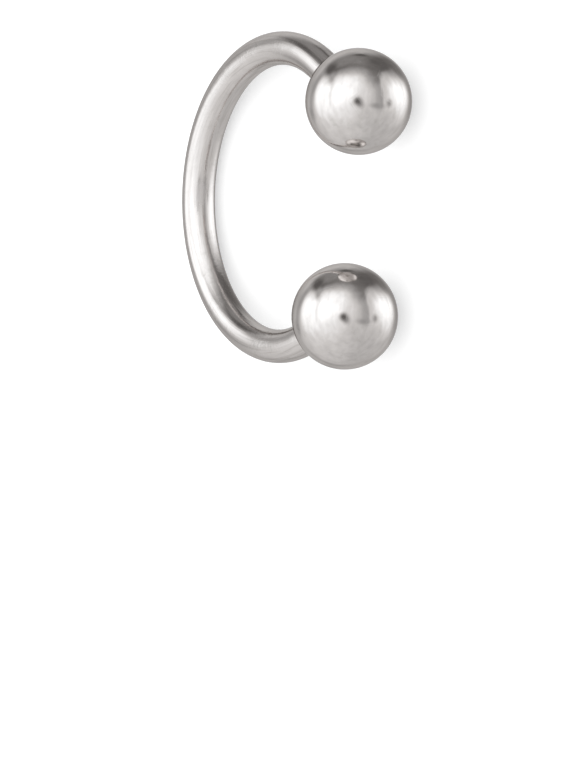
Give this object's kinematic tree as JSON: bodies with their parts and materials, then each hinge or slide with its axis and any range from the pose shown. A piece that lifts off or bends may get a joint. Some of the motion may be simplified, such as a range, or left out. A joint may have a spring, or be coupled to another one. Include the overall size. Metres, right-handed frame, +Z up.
{
  "type": "horseshoe barbell",
  "caption": "Open ring of round polished steel bar with a ball screwed on each threaded end, worn through a piercing such as a septum, lip or ear.",
  "frame": {"origin": "on the surface the barbell rests on, under the middle of its box", "axes": "+Z up, +Y from the opening between the balls to the back of the bent bar, so that it opens towards -Y; +X from the left ball to the right ball"},
  "size_m": [0.0158, 0.0164, 0.005],
  "materials": {
    "polished_steel": "mirror-polished stainless steel"
  },
  "bodies": {
    "bar": {"bar": "polished_steel"},
    "left_ball": {"left_ball": "polished_steel"},
    "right_ball": {"right_ball": "polished_steel"}
  },
  "joints": [
    {"name": "left_ball_unscrew", "type": "slide", "parent": "bar", "child": "left_ball", "axis": [0.4067, -0.906, 0.1174], "range_m": [0, 0.003]},
    {"name": "right_ball_unscrew", "type": "slide", "parent": "bar", "child": "right_ball", "axis": [-0.4067, -0.906, 0.1174], "range_m": [0, 0.003]}
  ]
}
